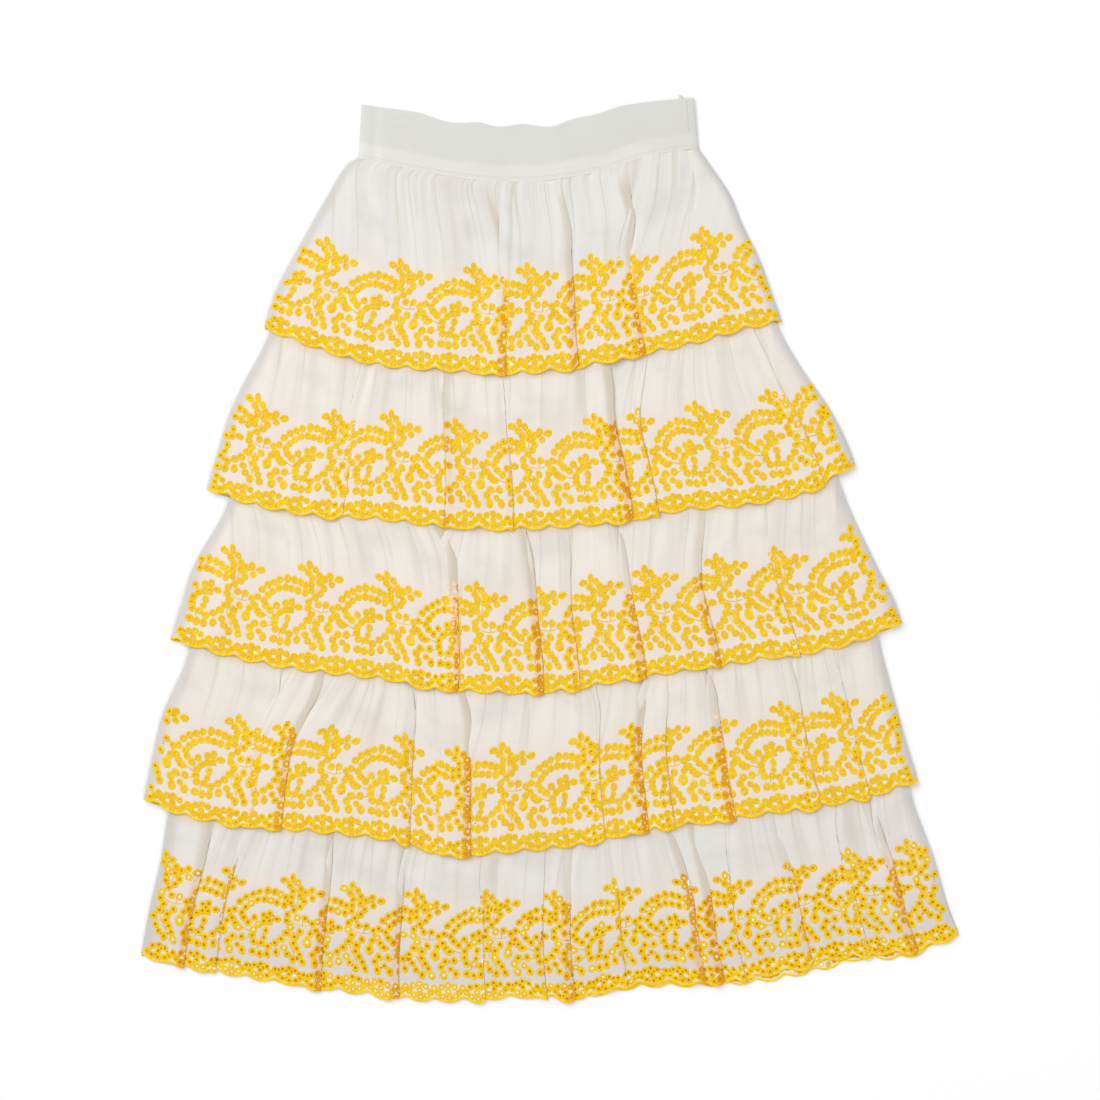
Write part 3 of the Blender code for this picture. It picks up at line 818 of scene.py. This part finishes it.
def eyelet_meshes(rows, ring, hole):
    """Points with heights, faces and stitch places of the thread round every eyelet in the rows."""
    angle, level, faces = ring
    share = np.array((hole, RING_MIDDLE, 1.0))[level]
    stretch = 1 + (rows[:, 3:4] - 1) * (0.4 + 0.6 * share)
    u, v = eyelet_places(rows, angle, rows[:, 2:3] * EYELET_RADIUS * share, stretch)
    height = np.broadcast_to(np.array(RING_HEIGHT)[level], u.shape)
    points = np.stack((u.ravel(), v.ravel(), height.ravel()), axis=-1)
    stitch = np.broadcast_to(angle / (2 * np.pi), u.shape).ravel()
    all_faces = (faces[None, :, :] + (np.arange(len(rows)) * len(angle))[:, None, None]).reshape(-1, 4)
    return points, all_faces, stitch


def four_sided(count):
    """Faces of a closed four-sided thread, from its rings of four points."""
    first = 4 * np.arange(count - 1)
    faces = [(0, 1, 2, 3)]
    for side in range(4):
        other = (side + 1) % 4
        quads = (first + side, first + 4 + side, first + 4 + other, first + other)
        faces += np.stack(quads, axis=-1).tolist()
    last = 4 * (count - 1)
    return np.array(faces + [(last + 3, last + 2, last + 1, last)])


def cord_mesh(run, width, height, under=0.0):
    """Points with heights, faces and stitch places of a cord along a run of u and v."""
    run = np.asarray(run, dtype=float)
    along = unit(np.gradient(run, axis=0))
    out = np.stack((-along[:, 1], along[:, 0]), axis=-1) * width / 2
    lines = ((run - out, CORD_SIDE), (run, height), (run + out, CORD_SIDE), (run, -under))
    lines = [np.column_stack((line, np.full(len(run), rise))) for line, rise in lines]
    return np.stack(lines, axis=1).reshape(-1, 3), four_sided(len(run)), np.linspace(0, 1, len(run)).repeat(4)


def tube(place, radius):
    """A thin four-sided thread along places in space, narrow at both ends."""
    along = unit(np.gradient(place, axis=0))
    side = unit(np.cross(along, (0.0, 0.0, 1.0)))
    up = np.cross(side, along)
    taper = np.full((len(place), 1), radius)
    taper[0] = taper[-1] = 0.3 * radius
    rings = [place + way * taper for way in (side, up, -side, -up)]
    return np.stack(rings, axis=1).reshape(-1, 3), four_sided(len(place))


def turned_over(group):
    """The same stitches on the other face of the cloth."""
    points, faces, stitch = group
    return points * (1, 1, -1), faces[:, ::-1], stitch


def embroidery_object(name, panel, rows, start, ring, material):
    """All the thread on one half of a tier: eyelets, stems and the two cords of the border."""
    length = panel["length"]
    hole = HOLE_SHARE[panel["tier"]]
    groups = [eyelet_meshes(rows, ring, hole)]
    if panel["tier"] == LAST and not panel["front"]:
        groups.append(turned_over(eyelet_meshes(rows[rows[:, 1] < INSIDE_SHOWS], ring, hole)))
    across = np.linspace(0.4, length - 0.4, int(length / DETAIL[panel["front"]]["cord_step"]))
    edge = hem_notch(across, start)
    for share, above, width, height, under in BORDER_CORDS:
        groups.append(cord_mesh(np.column_stack((across, share * edge + above)), width, height, under))
    for number in range(-1, int(length / REPEAT) + 2):
        for stem in STEMS:
            run = np.array(stem, dtype=float) + (start + number * REPEAT, STEM_RISE)
            if (from_sides(panel, *run.T) > 1).all():
                groups.append(cord_mesh(run, STEM_WIDTH, STEM_HEIGHT))
    points, faces = stack_faces([(group[0], group[1]) for group in groups])
    stitch = np.concatenate([group[2] for group in groups])
    u = points[:, 0]
    v = np.maximum(points[:, 1], 0.0)
    place = lie(panel, u, v) + face_out(panel, u, v) * points[:, 2:3]
    piece = mesh_object(name, place, faces.tolist(), material, not panel["front"])
    mesh = piece.data
    rise = np.abs(points[:, 2])
    add_uv(mesh, "stitches", np.column_stack((stitch, rise)))
    add_value(mesh, "doubled", doubled(panel, u, v))
    mesh.shade_smooth()
    ends = np.empty(2 * len(mesh.edges), dtype=np.int32)
    mesh.edges.foreach_get("vertices", ends)
    sharp = (rise[ends.reshape(-1, 2)] < 0.1).all(axis=1)
    mesh.attributes.new(name="sharp_edge", type="BOOLEAN", domain="EDGE").data.foreach_set("value", sharp)
    return piece


def add_node(tree, kind, given=(), **settings):
    """A shader node with its settings; given are its inputs, each a socket to join or a fixed value."""
    node = tree.nodes.new("ShaderNode" + kind)
    for name, value in settings.items():
        setattr(node, name, value)
    for place, value in dict(given).items():
        if isinstance(value, bpy.types.NodeSocket):
            tree.links.new(value, node.inputs[place])
        else:
            node.inputs[place].default_value = value
    return node


def worked_out(tree, operation, *values):
    """The result of a Math node; each value is a socket or a fixed number."""
    return add_node(tree, "Math", enumerate(values), operation=operation).outputs[0]


def flat_place(tree, name):
    """The UV map that a mesh keeps under a name, and its two parts."""
    uv = add_node(tree, "UVMap", uv_map=name).outputs[0]
    parts = add_node(tree, "SeparateXYZ", {0: uv}).outputs
    return uv, parts[0], parts[1]


def attribute_value(tree, name):
    """The value that a mesh keeps under a name."""
    return add_node(tree, "Attribute", attribute_name=name).outputs["Fac"]


def noise(tree, place, scale, detail):
    """An uneven value at each place."""
    return add_node(tree, "TexNoise", {"Vector": place, "Scale": scale, "Detail": detail}).outputs["Fac"]


def streaks(tree, scale, stretch, detail):
    """Uneven streaks that run down the cloth, as its gathered layers do."""
    uv = flat_place(tree, "cloth")[0]
    drawn = add_node(tree, "Mapping", {"Vector": uv, "Scale": (1.0, stretch, 1.0)})
    return noise(tree, drawn.outputs[0], scale, detail)


def ranged(tree, value, low, high, most=1.0, least=0.0):
    """A value brought softly from least at low to most at high."""
    given = {"Value": value, "From Min": low, "From Max": high, "To Min": least, "To Max": most}
    return add_node(tree, "MapRange", given, interpolation_type="SMOOTHSTEP").outputs[0]


def crease_shade(tree, scale, stretch, width, strength):
    """Painted shade of creases that run down the cloth, each crisp on one side and soft on the other."""
    streak = streaks(tree, scale, stretch, 0.0)
    soft_side = ranged(tree, streak, 0.5, 0.5 + width, 0.0, strength)
    return worked_out(tree, "MULTIPLY", worked_out(tree, "GREATER_THAN", streak, 0.5), soft_side)


def mix_colours(tree, factor, first, second):
    """A mix of two colours, each a socket or a fixed colour."""
    given = {0: factor}
    for place, colour in ((6, first), (7, second)):
        given[place] = (*colour, 1.0) if isinstance(colour, tuple) else colour
    return add_node(tree, "Mix", given, data_type="RGBA").outputs[2]


def laid_over(tree, colour, layers):
    """A colour with others laid over it, each as far as its mask says."""
    for mask, over in layers:
        colour = mix_colours(tree, mask, colour, over)
    return colour


def weave_group():
    """What all the cloth shares: plain weave with slubs, streaks of painted fold shade that run down it, and
    warmer clouds.
    """
    group = bpy.data.node_groups.new("plain_weave", "ShaderNodeTree")
    group.interface.new_socket("Threads", in_out="INPUT", socket_type="NodeSocketFloat")
    threads = group.nodes.new("NodeGroupInput").outputs["Threads"]
    across, up = flat_place(group, "cloth")[1:]
    waves = [worked_out(group, "SINE", worked_out(group, "MULTIPLY", part, threads)) for part in (across, up)]
    slub = streaks(group, 900.0, 0.06, 2.0)
    place = group.nodes.new("ShaderNodeTexCoord").outputs["Object"]
    given_out = {
        "Height": worked_out(group, "MULTIPLY_ADD", worked_out(group, "MULTIPLY", *waves), 0.5, slub),
        "Slubs": slub,
        "Streaks": streaks(group, 16.0, 1.3, 3.0),
        "Clouds": worked_out(group, "MULTIPLY_ADD", noise(group, place, 14.0, 3.0), 0.5, -0.25),
    }
    end = group.nodes.new("NodeGroupOutput")
    for name, value in given_out.items():
        group.interface.new_socket(name, in_out="OUTPUT", socket_type="NodeSocketFloat")
        group.links.new(value, end.inputs[name])
    return group


def new_material(name, roughness, specular):
    """A Principled material with no colour or bump yet, its tree and its shader."""
    material = bpy.data.materials.new(name)
    material.use_nodes = True
    tree = material.node_tree
    shader = tree.nodes["Principled BSDF"]
    shader.inputs["Roughness"].default_value = roughness
    shader.inputs["Specular IOR Level"].default_value = specular
    return material, tree, shader


def finish_material(tree, shader, colour, height, strength, distance):
    """Join a colour and a bump to a shader."""
    bump = add_node(tree, "Bump", {"Height": height, "Strength": strength, "Distance": distance})
    tree.links.new(colour, shader.inputs["Base Color"])
    tree.links.new(bump.outputs[0], shader.inputs["Normal"])


def tier_layers(tree):
    """Masks and colours laid over a tier's plain cloth, from its streaks of painted fold shade up to its
    eyelets.
    """
    uv, _, up = flat_place(tree, "cloth")
    value = {name: attribute_value(tree, name) for name in TIER_VALUES}
    # Painted fold shade: soft streaks that darken the cloth down each tier
    layers = [(ranged(tree, streaks(tree, scale, stretch, 2.5), 0.48, 0.74, most), CLOTH_FOLD_SHADE)
              for scale, stretch, most in ((75.0, 0.08, 0.35), (26.0, 0.16, 0.6))]
    open_cloth = ranged(tree, value["gathered"], 0.0, 1.0, 1.0, 0.55)
    # Painted crease shade: fine lines near the seam and long ones lower down
    fine = worked_out(tree, "MULTIPLY", crease_shade(tree, 95.0, 0.045, 0.06, 0.5), value["gathered"])
    long = worked_out(tree, "MULTIPLY", crease_shade(tree, 26.0, 0.035, 0.045, 0.65), open_cloth)
    spots = add_node(tree, "TexVoronoi", {"Scale": 112.0, "Vector": uv})
    spot = ranged(tree, spots.outputs["Distance"], 0.56, 0.42)
    in_band = ranged(tree, up, 0.1, 0.086)
    beneath = mix_colours(tree, spot, BAND_DOUBLED_SHADED, THREAD_BENEATH)
    twice = mix_colours(tree, in_band, CLOTH_DOUBLED_SHADED, beneath)
    line = mix_colours(tree, in_band, FOLD_LINE_SHADE, BAND_FOLD_LINE_SHADE)
    # Eyelet floors: cloth beneath in painted shade, deep painted shade, or the pale floor
    hole = mix_colours(tree, ranged(tree, value["tone"], 0.0, 1.0), HOLE_CLOTH, HOLE_DEEP_SHADE)
    hole = mix_colours(tree, ranged(tree, value["tone"], 0.0, -0.5), hole, HOLE_PALE)
    return layers + [
        (fine, CREASE_SHADE),
        (long, CREASE_SHADE),
        (ranged(tree, value["hem_shadow"], 0.0, 1.0, 0.55), CLOTH_HEM_SHADOW),
        # Painted bounce light from the thread, with the layers beneath seen through, over the embroidered
        # band
        (ranged(tree, up, 0.132, 0.088, 0.8), CLOTH_BOUNCE_GLOW),
        # Painted shade on the lowest tier's band
        (ranged(tree, value["thin"], 0.0, 1.0, 0.7), CLOTH_THIN_SHADE),
        # Painted highlight across the border between its eyelets
        (ranged(tree, up, 0.022, 0.014, 0.5), BORDER_HIGHLIGHT),
        # Hidden layers showing through beside a lap's edge, with painted shade
        (ranged(tree, value["doubled"], 0.05, MOST_DOUBLED, 0.72), twice),
        # Painted warm shade along each lap's sharp edge
        (ranged(tree, value["under_edge"], 0.1, 0.7, 0.8), line),
        # Painted shade along the side edges
        (ranged(tree, value["beside"], 0.0, 1.0, 0.8), CLOTH_EDGE_SHADE),
        (ranged(tree, value["sunk"], 0.6, 0.95), hole),
    ]


def cloth_material(name, weave, embroidered, cool, warm):
    """Sheer off-white cotton, warmer where yellow thread shows through it."""
    material, tree, shader = new_material(name, 0.9, 0.25)
    shader.inputs["Sheen Weight"].default_value = 0.12
    shader.inputs["Sheen Roughness"].default_value = 0.5
    cloth = tree.nodes.new("ShaderNodeGroup")
    cloth.node_tree = weave
    cloth.inputs["Threads"].default_value = 2 * np.pi / THREAD_SPACING
    warmth = worked_out(tree, "ADD", cloth.outputs["Clouds"], attribute_value(tree, "warmth"))
    colour = mix_colours(tree, warmth, cool, warm)
    layers = [
        # Painted fold shade from the streaks, then the slubs' own darker tone
        (ranged(tree, cloth.outputs["Streaks"], 0.45, 0.75, 0.5), CLOTH_SLUB_AND_FOLD_SHADE),
        (ranged(tree, cloth.outputs["Slubs"], 0.35, 0.75, 0.12), CLOTH_SLUB_AND_FOLD_SHADE),
    ]
    colour = laid_over(tree, colour, layers + (tier_layers(tree) if embroidered else []))
    finish_material(tree, shader, colour, cloth.outputs["Height"], 0.18, 0.0001)
    return material


def thread_material(name):
    """Golden satin stitch, with painted shade between its threads and down its low sides, and darker where
    cloth lies double, partly as painted shade.
    """
    material, tree, shader = new_material(name, 0.5, 0.1)
    around, rise = flat_place(tree, "stitches")[1:]
    wave = worked_out(tree, "SINE", worked_out(tree, "MULTIPLY", around, 2 * np.pi * STITCHES_ROUND))
    place = tree.nodes.new("ShaderNodeTexCoord").outputs["Object"]
    patch = ranged(tree, noise(tree, place, 120.0, 2.0), 0.35, 0.7)
    colour = mix_colours(tree, patch, THREAD_GOLD, THREAD_LIGHT)
    layers = (
        # Painted shade low on the thread and between its stitches
        (ranged(tree, rise, 0.3, 0.0, 0.3), THREAD_RECESS_SHADE),
        (ranged(tree, wave, -0.2, -1.0, 0.2), THREAD_RECESS_SHADE),
        (ranged(tree, attribute_value(tree, "doubled"), 0.05, MOST_DOUBLED, 0.9), THREAD_DOUBLED_SHADED),
    )
    finish_material(tree, shader, laid_over(tree, colour, layers), wave, 0.5, 0.0002)
    return material


def band_place(across, down, front):
    """x, y and z of places on the waistband, with soft puckers in its front."""
    top_x = BAND_TOP[0][0] + across * (BAND_TOP[-1][0] - BAND_TOP[0][0])
    seam_x = BAND_SEAM[0][0] + across * (BAND_SEAM[-1][0] - BAND_SEAM[0][0])
    x = top_x + (seam_x - top_x) * down
    top_y = smooth(BAND_TOP, top_x)
    y = top_y + (smooth(BAND_SEAM, seam_x) - top_y) * down
    if not front:
        return np.stack((x, y, 0 * x + 0.1), axis=-1)
    draw = np.random.default_rng(71)
    pucker = 0 * x
    for number in range(PUCKERS):
        place = draw.uniform(0.03, 0.97)
        middle = draw.uniform(0.1, 0.95)
        aside = across - place - 0.03 * draw.uniform(-1, 1) * (down - middle)
        away = aside * BAND_LENGTH / draw.uniform(5, 16)
        rise = draw.uniform(-0.45, 0.6)
        pucker = pucker + rise * np.exp(-away ** 2 - ((down - middle) / draw.uniform(0.2, 0.6)) ** 2)
    crease = 0.9 * np.exp(-((across - 0.045) * BAND_LENGTH / 5.0) ** 2)
    wrinkled = np.exp(-((across - 0.115) * BAND_LENGTH / 11.0) ** 2) * ease(2 - 2.6 * down)
    crease = crease + 0.22 * wrinkled * np.sin(2 * np.pi * (5.5 * down + 3 * across))
    crease = crease - SEAM_WALL * ease((down - ALLOWANCE_FROM) / 0.05)
    for line in SEAM_LINES:
        crease = crease + SEAM_WALL * np.exp(-((down - line) / 0.009) ** 2)
    low = BAND_WALL + SEAM_GAP
    rounded = side_rounding(across, BAND_LENGTH)
    z = low + rounded * (2 * LAYER - low) + rounded * (pucker - crease)
    return np.stack((x, y, np.maximum(z, low)), axis=-1)


def apply_modifier(piece, kind, **settings):
    """Shape a piece with a modifier and apply it."""
    bpy.ops.object.select_all(action="DESELECT")
    piece.select_set(True)
    bpy.context.view_layer.objects.active = piece
    added = piece.modifiers.new("Shape", kind)
    for name, value in settings.items():
        setattr(added, name, value)
    bpy.ops.object.modifier_apply(modifier="Shape")


def band_object(name, front, material):
    """One half of the waistband as a soft-edged wall."""
    columns = 150 if front else 60
    levels = np.linspace(1, 0, 7)
    if front:
        levels = np.concatenate((np.linspace(1, 0.9, 22), np.linspace(0.88, 0, 22)))
    down, across = np.meshgrid(levels, np.linspace(0, 1, columns + 1), indexing="ij")
    down = down.ravel()
    across = across.ravel()
    quads = grid_faces(columns, len(levels) - 1)
    piece = mesh_object(name, band_place(across, down, front), quads.tolist(), material)
    flat = np.column_stack((across * BAND_LENGTH * MM, BAND_UV_TOP - down * BAND_DEPTH * MM))
    add_uv(piece.data, "cloth", flat)
    add_value(piece.data, "warmth", ease((down - ALLOWANCE_FROM + 0.03) / 0.08))
    apply_modifier(piece, "SOLIDIFY", thickness=BAND_THICK * MM, offset=1.0)
    apply_modifier(piece, "BEVEL", width=0.4 * MM, segments=2, angle_limit=np.radians(50))
    piece.data.shade_smooth()
    return piece


def stitches_object(name, material):
    """Topstitching along the waistband's lower seam, and the short row beside the side zip."""
    rows = [(share, SEAM_LINES[0], 1.1 / BAND_LENGTH, 0.0) for share in np.linspace(0.01, 0.99, 118)]
    rows += [(ZIP_SHARE, share, 0.0, 1.6 / BAND_DEPTH) for share in np.linspace(0.06, 0.62, 12)]
    part = np.linspace(-1, 1, 5)
    threads = []
    for across, down, half_across, half_down in rows:
        place = band_place(across + part * half_across, down + part * half_down, True)
        place[:, 2] += BAND_THICK + STITCH_BULGE * (1 - part ** 2)
        threads.append(tube(place, STITCH_RADIUS))
    points, faces = stack_faces(threads)
    piece = mesh_object(name, points, faces.tolist(), material)
    piece.data.shade_smooth()
    return piece


def loop_object(material):
    """The tip of the tape loop above the waistband, rounded at its fold."""
    low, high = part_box("hanger_loop")
    bpy.ops.object.select_all(action="DESELECT")
    bpy.ops.mesh.primitive_cube_add(size=1.0, location=(low + high) / 2)
    piece = bpy.context.object
    piece.name = "hanger_loop_tape"
    piece.scale = high - low
    bpy.ops.object.transform_apply(location=True, rotation=True, scale=True)
    apply_modifier(piece, "BEVEL", width=0.28 * MM, segments=3)
    piece.data.materials.append(material)
    piece.data.shade_smooth()
    return piece


def stage_and_light():
    """Pale floor, soft light and the camera straight above."""
    bpy.ops.mesh.primitive_plane_add(size=9.0, location=(0, 0, -0.0004))
    floor = bpy.context.object
    floor.name = "floor"
    material, tree, shader = new_material("pale_floor", 0.95, 0.0)
    shader.inputs["Base Color"].default_value = (0.93, 0.93, 0.93, 1.0)
    floor.data.materials.append(material)
    for name, place, size, power in LAMPS:
        light = bpy.data.lights.new(name, "AREA")
        light.size = size
        light.energy = power
        lamp = add_object(name, light)
        lamp.location = place
        lamp.rotation_euler = (-Vector(place)).to_track_quat("-Z", "Y").to_euler()
    world = bpy.data.worlds.new("soft_room")
    world.use_nodes = True
    background = world.node_tree.nodes["Background"]
    background.inputs["Color"].default_value = (1.0, 1.0, 1.0, 1.0)
    background.inputs["Strength"].default_value = 0.68
    scene = bpy.context.scene
    scene.world = world
    scene.view_settings.view_transform = "Standard"
    lens = bpy.data.cameras.new("camera")
    lens.lens = 85.0
    lens.sensor_width = 36.0
    lens.clip_end = 20.0
    away = PHOTO_PIXELS * PIXEL * MM * lens.lens / lens.sensor_width
    camera = add_object("camera", lens)
    camera.location = ((PHOTO_MIDDLE[0] - CENTRE_X) * MM, (PHOTO_MIDDLE[1] - CENTRE_Y) * MM, away)
    scene.camera = camera


def fit(piece, replaced=None):
    """Hide the CAD node that a piece stands in for, if one is given; the piece rides on the skirt's one body.
    """
    if replaced:
        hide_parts(replaced)
    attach(piece, "root")


def build():
    """Every visible piece, each riding on the skirt's one body."""
    bpy.ops.object.select_all(action="DESELECT")
    weave = weave_group()
    tier_cloth = cloth_material("tier_cloth", weave, True, CLOTH_COOL, CLOTH_WARM)
    band_cloth = cloth_material("waistband_cloth", weave, False, BAND_COOL, BAND_WARM)
    thread = thread_material("embroidery_thread")
    rings = {front: eyelet_ring(detail["sides"]) for front, detail in DETAIL.items()}
    for tier, front in ((tier, front) for tier in HEMS for front in (True, False)):
        node = f"tier_{tier}_front" if front else f"tier_{tier}_back"
        panel = lay_out(tier, front)
        start = PATTERN_START[tier] + (0 if front else BACK_START)
        rows = eyelets_along(panel, start)
        cloth = cloth_object(f"{node}_cloth", panel, rows, start, tier_cloth)
        threads = embroidery_object(f"{node}_embroidery", panel, rows, start, rings[front], thread)
        fit(cloth, node)
        fit(threads)
    for front in (True, False):
        node = "waistband_front" if front else "waistband_back"
        band = band_object(f"{node}_cloth", front, band_cloth)
        fit(band, node)
    fit(stitches_object("waistband_topstitching", band_cloth))
    fit(loop_object(band_cloth), "hanger_loop")
    stage_and_light()


build()
